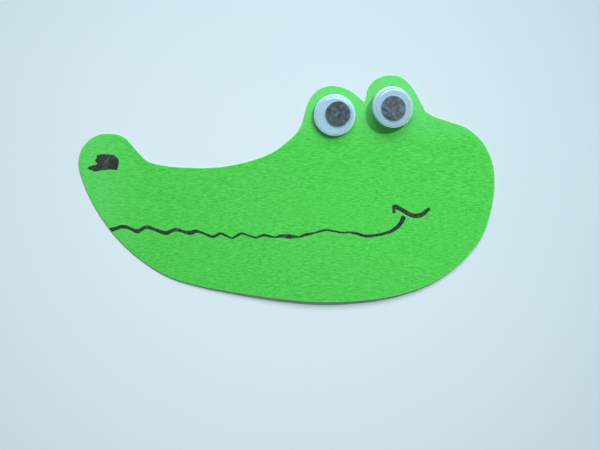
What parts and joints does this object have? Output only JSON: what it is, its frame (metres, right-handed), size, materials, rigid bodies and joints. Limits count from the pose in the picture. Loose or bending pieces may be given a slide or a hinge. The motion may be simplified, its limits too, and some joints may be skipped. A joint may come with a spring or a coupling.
{
  "type": "craft stick puppet head",
  "caption": "Flat card crocodile head in profile, with domed googly eyes whose loose pupils slide, and pen-drawn mouth, cheek and nostril.",
  "frame": {"origin": "middle of the card's back face, in the middle of the head's length and height", "axes": "+X from the snout to the back of the head, +Y up the head towards the brows, +Z out of the drawn front face"},
  "size_m": [0.1474, 0.0804, 0.0072],
  "materials": {
    "green_card": "matt, faintly fibrous card",
    "black_ink": "matt felt-tip ink on card",
    "craft_glue": "dried craft glue",
    "white_backing": "satin",
    "black_pupil": "satin",
    "clear_dome": "clear, smooth thin plastic"
  },
  "bodies": {
    "head": {"head_card": "green_card", "mouth_line": "black_ink", "cheek_line": "black_ink", "nostril": "black_ink", "left_eye_glue": "craft_glue", "left_eye_back": "white_backing", "left_eye_dome": "clear_dome", "right_eye_glue": "craft_glue", "right_eye_back": "white_backing", "right_eye_dome": "clear_dome"},
    "left_pupil_disc": {"left_pupil": "black_pupil"},
    "right_pupil_disc": {"right_pupil": "black_pupil"}
  },
  "joints": [
    {"name": "left_pupil_slide", "type": "slide", "parent": "head", "child": "left_pupil_disc", "axis": [0, 1, 0], "range_m": [-0.00206, 0.00115]},
    {"name": "right_pupil_slide", "type": "slide", "parent": "head", "child": "right_pupil_disc", "axis": [-0.4226, 0.9063, 0], "range_m": [-0.00154, 0.00251]}
  ]
}
